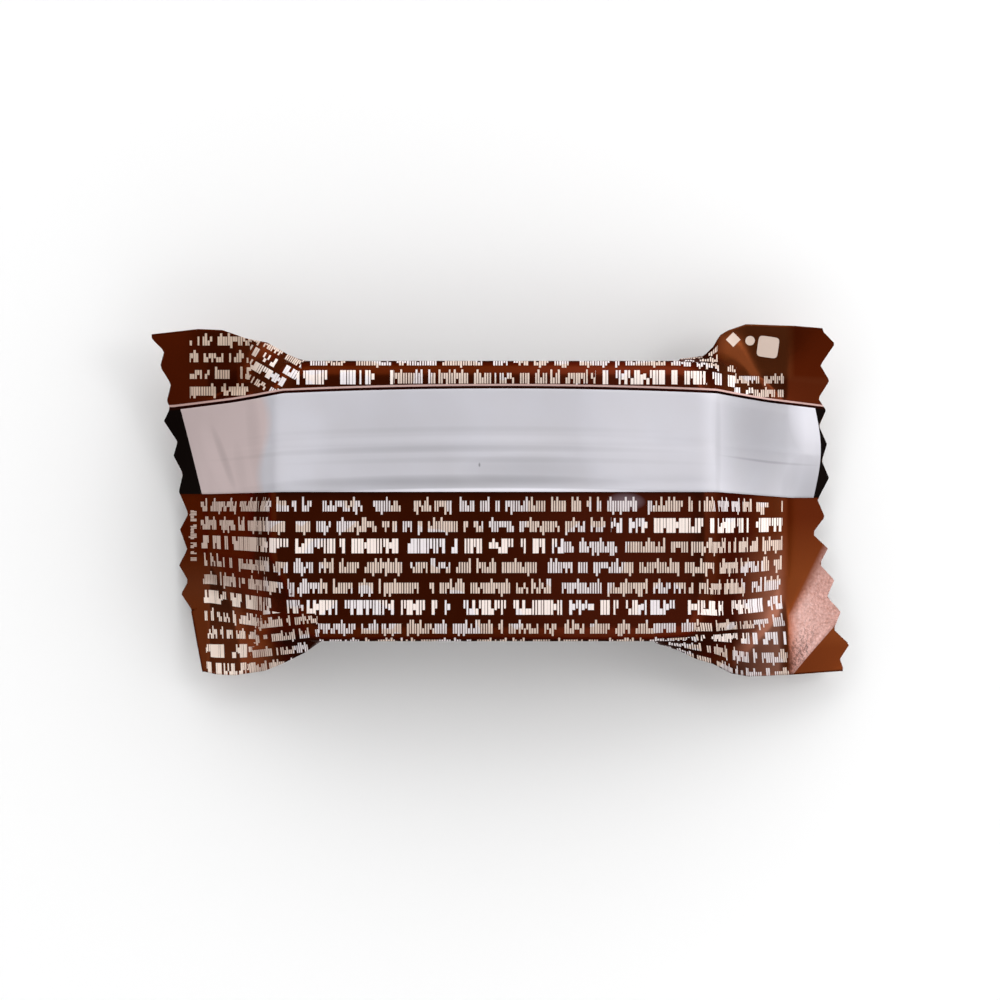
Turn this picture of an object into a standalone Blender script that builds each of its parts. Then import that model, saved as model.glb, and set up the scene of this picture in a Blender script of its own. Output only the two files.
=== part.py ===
"""A chocolate bonbon in its sealed flow wrap, lying on its front with the back seam up.

The wrap is one film: a sleeve round the bar, crimped flat and cut to a zigzag at both ends, with its two
long edges sealed together as a fin that is folded down flat on the back. It is shut, so it is one solid.

Millimetres are used below and turned into metres when the mesh is made. X runs along the pack, Y across
its back and Z up. The origin is under the middle of the pack, on the surface that it lies on.

The film is a net of rows, which run along the pack, and stations, which run round it. Rows are numbered
across the flattened sleeve. Each knife tooth is four rows wide.
"""

import math

import bmesh
import bpy
import numpy as np

MM = 0.001

# The bar inside the film: flat back, tight back edges, domed front.
BODY_WIDTH = 26.5
BODY_HEIGHT = 14.2
BACK_EDGE_RADIUS = 1.8
FRONT_FULLNESS = 2.5  # exponent of the superellipse that the front follows; 2 is an ellipse
RESTING_SPOT = 0.3  # how much of the dome's lowest part is pressed flat
FRONT_RISE_START = 14.5  # where the front begins to rise towards the seals

# The film.
SEAL_THICKNESS = 0.3
SEAL_GATHER = 0.94  # the seals sag and ripple, so they are narrower in plan than the flattened sleeve
FIN_THICKNESS = 0.26
FIN_GAP = 0.16  # between the folded fin and the back under it
TOOTH_DEPTH = 1.3

# Rows of the net, and where they lie on the bar.
LAST_ROW = 20
ROWS_PER_TOOTH = 4
FIN_ROOT_ROW = 11
FIN_EDGE_ROW = 1
ROWS_ON_BAR = {20: 17.2, FIN_ROOT_ROW: 10.9, FIN_EDGE_ROW: 0.9, -20: -17.2}

# Stations of the net along each end, from the cut inwards.
SEAL_STATIONS = 4
FLARE_STATIONS = 9
BODY_STATIONS = 12

EAR_START = 10.5  # how far from the middle line the ears of the end seals begin


class End:
    """One end of the pack. Lengths are distances from the middle of the pack, along X."""

    def __init__(self, sign, crease, seal, hollowness, cut, rows, tip_rows, seal_heights, cut_heights, ears):
        self.sign = sign
        self.crease = crease  # where the back bends down from the bar
        self.seal = seal  # where the two sides of the sleeve meet
        self.hollowness = hollowness  # of the back between those two: 1 is straight, less is steep at first
        self.cut = cut  # the middle line of the zigzag, as a function of y
        self.rows = rows  # {row: its y in the seal}, straight between these
        self.tip_rows = tip_rows  # a row with a tooth's tip above the fin's root, and one below it
        self.seal_heights = seal_heights  # at the seal's upper corner, middle and lower corner
        self.cut_heights = cut_heights
        self.ears = ears  # {side of y: (where the ear starts, where it has its full width, its hollowness)}


def left_cut(y):
    """The cut runs straight, then swings outwards towards the upper corner."""
    return 30.2 + 2.2 * max(y / 15.2, 0.0) ** 1.3


def right_cut(y):
    """The cut bows outwards at both corners, most at the lower one."""
    return 30.35 + 0.8 * max((y - 5.0) / 9.0, 0.0) ** 2 + 2.3 * max(-(y + 2.5) / 12.0, 0.0) ** 1.3


LEFT = End(
    sign=-1,
    crease=21.9,
    seal=27.3,
    hollowness=0.64,
    cut=left_cut,
    rows={20: 15.8, 12: 9.5, 10: 7.7, -6: -6.1, -12: -10.4, -20: -16.0},
    tip_rows=(20, 10),
    seal_heights=(7.0, 4.2, 3.4),
    cut_heights=(7.0, 1.5, 1.6),
    ears={1: (17.6, 26.2, 1.0), -1: (17.4, 25.2, 0.8)},
)
RIGHT = End(
    sign=1,
    crease=20.5,
    seal=27.1,
    hollowness=0.85,
    cut=right_cut,
    rows={20: 16.3, 18: 14.9, 10: 8.5, 2: 2.1, 1: 0.6, -2: -1.5, -18: -13.8, -20: -15.6},
    tip_rows=(18, 10),
    seal_heights=(6.2, 4.0, 4.8),
    cut_heights=(5.8, 1.9, 3.8),
    ears={1: (18.6, 22.2, 1.1), -1: (14.0, 23.8, 1.0)},
)

# The lower left corner is folded under, so its edge is a straight fold with no teeth.
FOLD_START_ROW = -12
FOLD_START_X, FOLD_END_X = 29.3, 28.1


def half_profile():
    """The bar's section from the middle of its back to the middle of its front: y, z and length so far."""
    side = BODY_WIDTH / 2
    depth = BODY_HEIGHT - BACK_EDGE_RADIUS
    y, z = [0.0], [BODY_HEIGHT]
    for turn in np.linspace(0.0, math.pi / 2, 12):
        y.append(side - BACK_EDGE_RADIUS * (1 - math.sin(turn)))
        z.append(BODY_HEIGHT - BACK_EDGE_RADIUS * (1 - math.cos(turn)))
    for turn in np.linspace(0.0, math.pi / 2, 160)[1:]:
        y.append(side * math.cos(turn) ** (2 / FRONT_FULLNESS))
        z.append(depth * (1 - math.sin(turn) ** (2 / FRONT_FULLNESS)))
    y, z = np.array(y), np.maximum(np.array(z) - RESTING_SPOT, 0.0)
    length = np.concatenate([[0.0], np.cumsum(np.hypot(np.diff(y), np.diff(z)))])
    return y, z, length


PROFILE_Y, PROFILE_Z, PROFILE_LENGTH = half_profile()
FILM_HALF_WIDTH = PROFILE_LENGTH[-1] / 2  # a flattened sleeve is half its girth wide
SEAL_HALF_WIDTH = FILM_HALF_WIDTH * SEAL_GATHER


def row_y(rows, row, half_width):
    """Where a row lies. The rows past the last one are the sleeve's two side folds."""
    if abs(row) > LAST_ROW:
        return math.copysign(half_width, row)
    known = sorted(rows)
    return float(np.interp(row, known, [rows[n] for n in known]))


def on_bar(flat_y, back):
    """Where the film point that lies at flat_y in a flattened sleeve sits on the bar's section."""
    along = abs(flat_y) if back else 2 * FILM_HALF_WIDTH - abs(flat_y)
    y = np.interp(along, PROFILE_LENGTH, PROFILE_Y)
    z = np.interp(along, PROFILE_LENGTH, PROFILE_Z)
    return math.copysign(y, flat_y) if flat_y else 0.0, z


def smooth(low, high, x):
    t = min(max((x - low) / (high - low), 0.0), 1.0)
    return t * t * (3 - 2 * t)


def zigzag(end, row):
    """The tooth's height at a row, from -1 in a valley to 1 on a tip."""
    tip = end.tip_rows[0 if row > FIN_ROOT_ROW else 1]
    phase = ((row - tip) / ROWS_PER_TOOTH) % 1.0
    return 4 * abs(phase - 0.5) - 1


def cut_distance(end, row, y):
    """How far out the film reaches at a row that lies at y."""
    if end is LEFT and row <= FOLD_START_ROW:
        share = min((row - FOLD_START_ROW) / (-LAST_ROW - FOLD_START_ROW), 1.0)
        return FOLD_START_X + (FOLD_END_X - FOLD_START_X) * share
    return end.cut(y) + TOOTH_DEPTH / 2 * zigzag(end, row)


def flare(end, y, back):
    """Where the film at y leaves the bar, where it has reached the seal, and how hollow its way there is."""
    ear = smooth(EAR_START, SEAL_HALF_WIDTH, abs(y))
    middle = (end.crease, end.seal, end.hollowness) if back else (FRONT_RISE_START, end.seal, 1.9)
    return [a + (b - a) * ear for a, b in zip(middle, end.ears[1 if y > 0 else -1])]


def pleat(end, y, share):
    """The soft pleats that fan out from the bar's end, as a height."""
    swell = 4 * share * (1 - share)
    return 0.28 * swell * math.sin(2 * math.pi * (y + 1.7 * end.sign) / 6.1) * smooth(16.4, 9.0, abs(y))


def across(heights, y):
    """The height at y of a curve through the upper corner, the middle and the lower corner."""
    upper, middle, lower = heights
    t = y / SEAL_HALF_WIDTH
    return middle + (upper - lower) / 2 * t + ((upper + lower) / 2 - middle) * t**2


def film_point(end, station, row, back):
    """A film point at a station of one end, counted from the cut, as x, y and z."""
    y = row_y(end.rows, row, SEAL_HALF_WIDTH)
    start, full, hollowness = flare(end, y, back)
    in_seal = min(station / SEAL_STATIONS, 1.0)
    done = max(station - SEAL_STATIONS, 0) / FLARE_STATIONS
    cut = cut_distance(end, row, y)
    distance = cut + (full - cut) * in_seal + (start - full) * done
    share = 1 - done
    bar_y, bar_z = on_bar(row_y(ROWS_ON_BAR, row, FILM_HALF_WIDTH), back)
    seal_height = across(end.seal_heights, y)
    beyond_seal = max(distance - full, 0.0) / (end.cut(y) - full)
    height = seal_height + (across(end.cut_heights, y) - seal_height) * beyond_seal
    if abs(row) <= LAST_ROW:
        height += SEAL_THICKNESS / 2 * (1 if back else -1)
    moved = share**hollowness
    z = bar_z + (height - bar_z) * moved + (pleat(end, y, share) if back else 0.0)
    return end.sign * distance, bar_y + (y - bar_y) * moved, z


def girth():
    """The net's lines round the pack, in five runs of (row, on the back, height above the back's own film)."""
    rows = range(LAST_ROW, -LAST_ROW - 1, -1)
    fin_rows = range(FIN_ROOT_ROW, FIN_EDGE_ROW - 1, -1)
    upper = [(LAST_ROW + 1, True, 0.0)] + [(row, True, 0.0) for row in rows if row > FIN_ROOT_ROW]
    fin_top = [(row, True, FIN_GAP + FIN_THICKNESS) for row in fin_rows]
    fin_under = [(row, True, FIN_GAP) for row in reversed(fin_rows[1:])]
    lower = [(row, True, 0.0) for row in rows if row <= FIN_ROOT_ROW] + [(-LAST_ROW - 1, True, 0.0)]
    front = [(row, False, 0.0) for row in reversed(rows)]
    return upper, fin_top, fin_under, lower, front


def line_along(row, back, lift):
    """One row's points from the left cut to the right cut."""
    ends = SEAL_STATIONS + FLARE_STATIONS
    left = [film_point(LEFT, station, row, back) for station in range(ends + 1)]
    right = [film_point(RIGHT, station, row, back) for station in range(ends, -1, -1)]
    shares = [n / BODY_STATIONS for n in range(1, BODY_STATIONS)]
    body = [[a + (b - a) * share for a, b in zip(left[-1], right[0])] for share in shares]
    return [(x, y, z + lift) for x, y, z in left + body + right]


def add_strip(mesh, side, other):
    """Faces between two runs of vertices; the shorter run's last vertex closes the rest as a fan."""
    for n in range(len(side) - 1):
        corners = [side[n], side[n + 1], other[min(n + 1, len(other) - 1)], other[min(n, len(other) - 1)]]
        mesh.faces.new(list(dict.fromkeys(corners)))


def add_cut_edge(mesh, runs):
    """The film's cut edge: between the sleeve's two sides, and between the fin's two films."""
    upper, fin_top, fin_under, lower, front = runs
    add_strip(mesh, fin_top, [lower[0]] + fin_under[::-1])
    bottom = front[::-1]
    above_fin = upper[1:] + [fin_top[0]]
    mesh.faces.new((upper[0], upper[1], bottom[0]))
    add_strip(mesh, above_fin, bottom[: len(above_fin)])
    root = bottom[len(above_fin) - 1]
    mesh.faces.new((fin_top[0], lower[0], root))
    add_strip(mesh, lower, bottom[len(above_fin) - 1 :])


def build_pack():
    mesh = bmesh.new()
    runs = [[[mesh.verts.new([v * MM for v in p]) for p in line_along(*line)] for line in run] for run in girth()]
    net = [line for run in runs for line in run]
    for this, after in zip(net, net[1:] + net[:1]):
        for n in range(len(this) - 1):
            mesh.faces.new((this[n], this[n + 1], after[n + 1], after[n]))
    for station in (0, -1):
        add_cut_edge(mesh, [[line[station] for line in run] for run in runs])
    bmesh.ops.recalc_face_normals(mesh, faces=mesh.faces)
    data = bpy.data.meshes.new("wrapped_bonbon")
    mesh.to_mesh(data)
    mesh.free()
    data.shade_smooth()
    data.set_sharp_from_angle(angle=math.radians(35))
    return bpy.data.objects.new("wrapped_bonbon", data)


def film_material():
    material = bpy.data.materials.new("brown_film")
    material.use_nodes = True
    shader = material.node_tree.nodes["Principled BSDF"]
    shader.inputs["Base Color"].default_value = (0.105, 0.022, 0.008, 1.0)
    shader.inputs["Roughness"].default_value = 0.34
    shader.inputs["Metallic"].default_value = 0.2
    return material


def main():
    for old in list(bpy.data.objects):
        bpy.data.objects.remove(old)
    pack = build_pack()
    pack.data.materials.append(film_material())
    bpy.context.scene.collection.objects.link(pack)


main()
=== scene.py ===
"""A chocolate bonbon in its sealed flow wrap, seen from straight above, back seam up.

The wrap is one film. It is modelled as a net of lines that run along the pack and stations that run across
it, in millimetres: X along the pack, Y across its back, Z up. The net carries three maps: "OFBake" lays the
whole film out flat, "print" gives each point's place on the film in millimetres, along and across, and
"seam" gives the distance from the middle along the pack, and from the root of the fin.
"""

import math

import bpy
import numpy as np
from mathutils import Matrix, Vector


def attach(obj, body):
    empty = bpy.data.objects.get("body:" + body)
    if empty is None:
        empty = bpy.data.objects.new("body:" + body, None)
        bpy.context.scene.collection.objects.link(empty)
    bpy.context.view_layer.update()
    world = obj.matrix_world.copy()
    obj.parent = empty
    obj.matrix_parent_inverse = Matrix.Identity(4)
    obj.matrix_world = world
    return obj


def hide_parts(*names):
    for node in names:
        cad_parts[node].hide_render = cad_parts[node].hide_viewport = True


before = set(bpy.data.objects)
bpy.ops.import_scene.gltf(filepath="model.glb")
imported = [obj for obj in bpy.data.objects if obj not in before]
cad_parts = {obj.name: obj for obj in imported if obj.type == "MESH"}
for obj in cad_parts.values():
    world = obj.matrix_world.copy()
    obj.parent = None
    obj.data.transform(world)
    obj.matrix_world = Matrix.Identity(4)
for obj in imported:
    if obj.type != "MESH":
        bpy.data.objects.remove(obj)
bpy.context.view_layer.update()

NODE = "wrapped_bonbon"
MM = 0.001

# The bar inside the film: flat back, tight back edges, domed front.
BODY_WIDTH = 26.5
BODY_HEIGHT = 14.2
BACK_EDGE_RADIUS = 1.8
FRONT_FULLNESS = 2.5
RESTING_SPOT = 0.3
FRONT_RISE_START = 14.5
FRONT_RISE_POWER = 1.9
EDGE_POINTS, FRONT_POINTS = 40, 300  # points of the section

# The film.
FILM = 0.14  # thickness of the two films of an end seal, and of the fin
FIN_GAP = 0.12
NECK = 1.5  # how far inside the cut the teeth no longer bend the net

# The fin's free part stands off the back: between which y it comes free, by how much, its waves (height,
# length and start), and between which distances it is sealed down again.
FIN_FREE, FIN_LIFT, FIN_SEALED = (7.0, 0.8), 0.10, (30.0, 24.0)
FIN_WAVES = ((0.06, 4.1, 0.6), (0.04, 2.3, 0.0))

# The net's leading lines: y in the left seal, arc length on the bar, y in the right seal, and whether the
# line bows with the root of the fin.
UPPER_FOLD = (16.3, 18.9, 16.55, 0)
FIRST_PRINT = (10.6, 11.7, 10.3, 0)
FIN_ROOT = (8.62, 10.62, 8.68, 1)
FIN_EDGE = (0.46, 0.62, 0.1, 0)
UNDER_FIN_EDGE = (-0.43, -0.38, -0.47, 0)
LOWER_FOLD = (-16.4, -18.3, -16.45, 0)
ROOT_BOW, ROOT_BOW_AT, ROOT_BOW_LIMIT = 0.5, 21.5, 1.4
BODY_END = 14.0
STATIONS_TEETH, STATIONS_END, STATIONS_BODY = 5, 68, 76


class End:
    """One end of the pack. Lengths are distances from the middle of the pack, along X."""

    def __init__(self, **values):
        self.__dict__.update(values)


LEFT = End(
    sign=-1,
    softness=8,  # how many times the creases are rounded
    # how far out the middle of the teeth lies, and where it flares: side, from which y, over what length,
    # how far and with what power
    teeth_middle=30.2,
    flares=((1, 0.0, 15.2, 2.2, 1.3),),
    # the zigzag cut's tips and valleys from the upper corner down: distance and y
    cut=(
        (33.0, 15.8), (31.8, 14.4), (32.2, 12.8), (31.2, 11.1), (31.6, 9.5), (31.3, 8.8), (31.9, 7.6),
        (30.6, 5.6), (31.0, 4.3), (30.1, 2.6), (30.5, 0.9), (29.6, -1.2), (30.4, -2.7), (29.7, -4.6),
        (30.5, -6.1), (29.6, -7.6), (30.3, -8.8), (29.3, -10.3), (30.2, -12.0), (29.2, -13.6), (30.2, -15.4),
    ),
    seal=27.6,
    seal_heights=(7.0, 4.2, 3.4),  # at the upper corner, in the middle and at the lower corner
    cut_heights=(7.0, 1.5, 1.6),
    # millimetres of film for each millimetre of plan: from where, above the fin and below it
    advance=((21.9, 1.0, 4.6), (23.1, 1.0, 1.6)),
    # where the print ends: distance and y
    margin=((29.7, 15.1), (29.2, 10.6), (28.5, -0.4), (28.1, -9.3), (27.8, -16.4)),
    upper_outline=((18.0, 13.0), (20.1, 13.9), (22.0, 15.0), (24.0, 15.4), (26.3, 16.2), (28.6, 16.3),
                   (33.0, 15.8)),
    lower_outline=((16.9, 13.1), (18.4, 14.2), (20.6, 15.3), (22.3, 16.0), (25.2, 16.45), (26.9, 16.35),
                   (28.0, 16.1)),
    # y in the seal, then where the film leaves the bar, its knee (place and share of the way down), and
    # where it has come down to the seal
    slopes=(
        (-16.4, 17.0, 20.5, 0.5, 24.1),
        (-9.5, 18.5, 21.5, 0.5, 25.0),
        (-5.0, 21.7, 23.0, 0.45, 27.6),
        (9.2, 21.9, 23.1, 0.48, 27.6),
        (10.4, 20.8, 22.4, 0.5, 23.9),
        (16.3, 18.6, 21.2, 0.5, 23.8),
    ),
)
RIGHT = End(
    sign=1,
    softness=30,
    teeth_middle=30.35,
    flares=((1, 5.0, 9.0, 0.8, 2.0), (-1, -2.5, 12.0, 2.3, 1.3)),
    cut=(
        (30.55, 16.3), (31.75, 15.0), (30.35, 12.9), (31.25, 11.4), (30.15, 9.7), (30.95, 8.6),
        (30.25, 7.1), (31.05, 5.4), (30.55, 3.8), (31.25, 2.2), (30.15, 0.1), (30.85, -1.5),
        (29.65, -3.1), (31.15, -4.5), (30.35, -6.0), (31.75, -7.5), (31.05, -9.1), (32.35, -10.5),
        (31.65, -12.2), (33.15, -13.7), (32.25, -15.2), (32.55, -16.0),
    ),
    seal=27.2,
    seal_heights=(6.2, 4.0, 4.8),
    cut_heights=(5.8, 1.9, 3.8),
    advance=((20.0, 1.2, 1.9), (23.5, 1.1, 1.2)),
    margin=((26.9, 16.0), (26.9, 11.0), (26.8, -0.5), (26.7, -9.3), (27.1, -12.4), (27.4, -16.4)),
    upper_outline=((17.0, 13.4), (19.3, 13.7), (20.2, 14.5), (20.8, 15.5), (21.6, 15.95), (23.3, 16.5),
                   (28.0, 16.35), (30.5, 16.15)),
    lower_outline=((14.6, 13.3), (16.9, 14.0), (18.5, 14.8), (20.2, 15.3), (21.9, 16.2), (23.6, 16.5),
                   (28.0, 16.3), (32.3, 16.0)),
    slopes=(
        (-16.45, 15.5, 18.0, 0.4, 21.5),
        (-11.0, 18.5, 21.5, 0.45, 25.5),
        (-7.0, 20.0, 23.5, 0.5, 27.2),
        (8.0, 20.0, 23.5, 0.5, 27.2),
        (11.0, 19.0, 21.5, 0.5, 24.0),
        (16.55, 17.5, 20.0, 0.5, 22.5),
    ),
)

# The lower left corner is folded under along a straight fold: its two ends as distance and y.
CORNER_FOLD_TOP, CORNER_FOLD_BOTTOM = (29.35, -10.4), (28.25, -16.4)
CORNER_FOLD_DROP = 0.3

# The lower right corner is bent down along a crease: its two ends as distance and y, and the slope past it.
CORNER_CREASE, CORNER_BEND = ((31.9, -11.2), (27.8, -16.1)), 0.36
CORNERS_FROM = 20.0  # only film farther out than this takes part in either

# How the film widens from the bar to the seal: where its inner part starts, over what length it does so
# above and below the fin, between which y the two meet, and between which y the outline takes over.
WIDEN_FROM, WIDEN_ABOVE, WIDEN_BELOW = 20.5, 10.5, 7.0
WIDEN_MEET, OUTLINE_FROM = (0.0, 5.0), (9.0, 15.0)
EAR = (8.0, 14.0)  # between which distances from the middle the front joins the back's slopes

# Ripples of the film: height, width and seed.
RIPPLES = ((0.05, 5.0, 1), (0.025, 1.9, 2))
NOISE_GRID, NOISE_AT = (160, 160), (70.3, 70.7)  # the random grid's size, and the pack's middle on it

# Where ripples and creases show. On the back they grow between the first two distances from its middle line,
# and towards the seals between the next two from the pack's middle. On the front only the seals have any.
RELIEF_SIDES, RELIEF_ENDS, FRONT_RELIEF_ENDS = (13.1, 12.2), (23.0, 26.0), (25.0, 27.5)

CREASE_TAPER = 0.8  # how far a crease fades past both its ends, and inside them

# Sharp creases of the back's film: both ends in plan, height (negative for a groove) and half width.
CREASES = (
    ((-24.2, 15.6), (-23.8, 9.8), 0.35, 0.9),
    ((-22.5, -10.5), (-24.1, -16.0), 0.3, 0.9),
    ((-27.1, 8.1), (-24.6, 1.0), -0.12, 0.7),
    ((20.6, 10.0), (20.6, 1.0), 0.06, 0.5),
    ((20.7, 5.3), (30.2, 4.3), 0.10, 0.4),
    ((-22.0, 5.0), (20.7, 5.3), -0.07, 0.7),
    ((-20.0, 1.6), (22.0, 1.8), -0.08, 0.6),
)

# The map of the print. Its margins lie at -PRINT_END and PRINT_END.
PRINT_END = 40.0
ADVANCE_CHANGE = (-2.0, 6.0)  # between which y an end's advance below the fin becomes that above it

# The lower rows of print sink towards the right seal: by how much, and between which x and y.
RIGHT_DROOP, DROOP_X, DROOP_Y = 0.5, (18.0, 25.0), (0.0, -13.0)

# The film laid out flat.
BACK_SHARE, FRONT_SHARE = 1.0, 0.35  # how much room each line gets
FLAT_MARGIN, FLAT_SIZE = 0.01, 0.98  # the room left free round it, and its size

# The rows of the print: places across the film, in millimetres. Rows above the fin are numbered from
# UPPER_NUMBERS on.
LOWER_ROW, LOWER_PITCH = -0.38, 1.935
UPPER_ROW, UPPER_PITCH, UPPER_NUMBERS = 11.7, 1.9, 40
LOWER_ROWS, UPPER_ROWS = (-18.7, 0.6), (10.7, 18.35)  # between which places there is print
ROW_SHIFT = 7.31  # how far each row is shifted along the film against the one before
SIGNS_FROM, SIGNS_ABOVE = 20.6, 14.6  # the upper right corner, where there are signs instead of rows
# The parts of rows that are heavy: row, and between which x.
HEAVY_RUNS = (
    (5, -40.0, 40.0), (2, -40.0, 6.0), (1, 10.5, 40.0), (40, -21.0, -10.0), (40, 9.0, 24.0), (7, 19.0, 40.0),
    (8, -40.0, -24.0), (9, -40.0, -23.0), (42, -24.0, -17.0), (41, -24.0, -19.0),
)

# The upright strokes, two to a pair. Lengths along the film are shares of a pair's width, and heights are in
# millimetres over the middle of the row. Each stroke draws a luck between 0 and 1, which varies it.
PAIR, HEAVY_PAIR = 0.48, 0.59
SEATS = ((2.0, 0.26), (3.0, 0.74))  # seed and place of each stroke
THIN, THICK, THIN_LUCK = 0.14, 0.185, (0.3, 0.65)  # half widths, and for which luck a stroke is thin
HEAVIER, NOT_HEAVIER_LUCK = 0.045, (0.2, 0.65)  # added in heavy rows, but not for this luck
BROADER, BROADER_TO = 0.035, -21.0  # added up to this x
TOP, HEAVY_TOP = 0.41, 0.70
BOTTOM, HEAVY_BOTTOM = -0.6, -0.68
# Changes of the tops and bottoms: for which luck, by how much in plain rows and in heavy rows.
TOP_CHANGES = (((0.62, 0.80), 0.37, 0.0), ((0.0, 0.14), -0.45, -0.45), ((0.05, 0.22), 0.0, -0.35))
BOTTOM_CHANGES = (((0.93, 1.0), -0.3, 0.0), ((0.14, 0.26), 0.45, 0.45), ((0.3, 0.45), 0.0, 0.6))
NO_SECOND, NO_PAIR = 0.06, 0.09  # how often a pair's second stroke or a whole pair is left out
LONGEST_GROUP = 9.0  # one pair in so many is always left out

# The brown film: its colours where nothing is printed.
BROWN, BROWN_WORN = (0.056, 0.0064, 0.0010), (0.076, 0.0125, 0.0026)

# Where the brown differs, later rows over earlier ones: x where the change starts and over how many
# millimetres it grows (negative: to the left), the same for the distance below the fin's root, and colour.
# Many rows are painted light and shade: lighter where slopes and facets turn to the light, darker where
# edges and creases turn from it, and a painted sheen towards the shining corner.
EVERYWHERE = (-100.0, 1.0)
ABOVE_ROOT = (0.0, -0.5)
BROWN_TONES_AND_PAINTED_SHADING = (
    # Painted light: the right half of the body is lighter, towards the light on the right.
    ((-2.0, 10.0), EVERYWHERE, (0.104, 0.0155, 0.0055)),  # the right half of the body
    # Painted shade: the body's lower edge is darker, as it curves away from the light.
    (EVERYWHERE, (23.0, 1.5), (0.036, 0.0070, 0.0025)),  # the body's lower edge
    # Painted shade along the crease to the right seal.
    ((17.6, 1.6), EVERYWHERE, (0.046, 0.0080, 0.0026)),  # the crease to the right seal
    # Painted light: the upper right slope is lighter, as it faces the light.
    ((20.0, 1.5), ABOVE_ROOT, (0.110, 0.0270, 0.0080)),  # the upper right slope
    ((27.0, 1.0), ABOVE_ROOT, (0.064, 0.0085, 0.0016)),  # the plain upper right corner
    # Painted light: the right slope is lighter, as it faces the light.
    ((23.0, 2.0), (-3.5, 1.0), (0.088, 0.0200, 0.0070)),  # the right slope
    # Painted sheen: a pale pink painted highlight on the slope towards the shining corner.
    ((22.0, 4.5), (13.0, 12.0), (0.380, 0.1550, 0.1020)),  # the slope towards the shining corner
    ((26.4, 1.0), (-3.5, 1.0), (0.070, 0.0115, 0.0030)),  # the plain film of the right seal
    ((26.4, 1.0), (11.5, 6.5), (0.118, 0.0270, 0.0068)),  # the same, lower down
    ((26.4, 1.0), (24.0, 1.5), (0.098, 0.0205, 0.0050)),  # the bent corner
    # Painted light: the upper left facet is lighter, for the light its tilt catches.
    ((-19.0, -1.5), ABOVE_ROOT, (0.110, 0.0200, 0.0055)),  # the upper left facet
    ((-23.6, -1.0), ABOVE_ROOT, (0.062, 0.0078, 0.0014)),  # the upper left corner
    ((-20.5, -2.5), (14.5, 5.0), (0.102, 0.0260, 0.0105)),  # the left slope
    # Painted highlight: the lower left corner is much paler, for the orange highlights between its words.
    ((-21.3, -2.0), (20.5, 3.0), (0.185, 0.0420, 0.0140)),  # its lower corner
    # Painted highlight as well: the plain film of the lower left corner is paler.
    ((-26.9, -1.0), (18.0, 3.3), (0.110, 0.0240, 0.0070)),  # the plain film of the lower left corner
)
# A painted sheen: a pale lilac highlight painted on the film just below the fin's free edge.
SHEEN_COLOUR, SHEEN_SHARE = (0.42, 0.30, 0.34), 0.7
SHEEN_AT, SHEEN_SIZE = (11.9, 10.5), (1.9, 0.9)  # x and distance below the root, and half sizes

# The colours of the print. It is colder in patches: from which height of their noise, and how much.
PRINT_COLOUR, HEAVY_PRINT_COLOUR = (0.66, 0.53, 0.455), (0.85, 0.74, 0.69)
COLD_PRINT_COLOUR, COLD_FROM, COLD_SHARE = (0.72, 0.70, 0.76), 0.52, 0.6
# Where the print's colour differs: darker on the left slope, slightly darker and warmer in the upper left
# corner, and painted lighter in the lower left corner, for the light that corner lacks.
PRINT_TONES_AND_PAINTED_LIGHT = (
    ((-22.0, -2.0), ABOVE_ROOT, (0.64, 0.49, 0.39)),  # the upper left corner
    ((-21.5, -1.0), (9.0, 1.0), (0.52, 0.40, 0.34)),  # the left slope
    # Painted light: the print of the lower left corner is made paler to make up for the little light it gets.
    ((-22.8, -1.5), (18.0, 2.0), (0.95, 0.80, 0.70)),  # the lower left corner
)

# Along the fin's root: a pale line, and a dark line from under the fold to just above the root, as distances
# from the root.
ROOT_LINE, ROOT_LINE_COLOUR = (0.26, 0.44), (0.55, 0.36, 0.33)
DARK_ROOT_LINE, DARK_ROOT_LINE_COLOUR = (-0.6, 0.26), (0.012, 0.002, 0.001)

# The shine of the brown film.
FILM_ROUGHNESS, FILM_METALLIC = 0.24, 0.6
EDGE_TINT = (0.10, 0.03, 0.01)

# Noises over the film: bumps per millimetre, detail and, for the last, seed.
WORN_NOISE, CRIMP_SHEEN_NOISE, COLD_NOISE = (0.35, 3.0), (3.5, 4.0), (0.22, 1.0, 3.0)
CRINKLE_NOISE, CRINKLE_SHARE = (1.6, 5.0), 0.35
CRIMPED_CRINKLE_NOISE, CRIMPED_CRINKLE_SHARE = (3.2, 4.0), 2.6
CRINKLE_DEPTH, CRINKLE_STRENGTH = 0.05, 0.5

# The finely crinkled and shining lower corner of the right seal: from which x and distance below the root
# and how fast it grows, the slant of its inner side, and where the crease of the bent corner ends it.
# Its shine is partly real, from its coat and crinkles, and partly a pale pink painted sheen.
CRIMP_X, CRIMP_X_GROWTH, CRIMP_DOWN, CRIMP_DOWN_GROWTH = 27.3, 0.9, 13.0, 0.5
CRIMP_SLANT, CRIMP_SLANT_AT = -0.44, (14.2, 30.7)
CRIMP_END, CRIMP_END_SLANT = 49.4, 0.766
# The corner's colour is a painted sheen; its coat weight and coat roughness give it a real shine.
CRIMP_PAINTED_SHEEN_COLOUR, CRIMPED_COAT, COAT_ROUGHNESS = (0.43, 0.25, 0.225), 0.6, 0.2

# The signs in the upper right corner: their middles in plan and their sizes.
SQUARE_AT, SQUARE_TILT = (25.4, 14.6), -8.0
SQUARE_FULLNESS, SQUARE_REACH = 6.0, 0.95  # a higher power gives sharper corners
DIAMOND_AT, DIAMOND_REACH = (22.1, 15.3), 0.7
DISC_AT, DISC_RADIUS_SQUARED = (23.7, 15.2), 0.2

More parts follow.
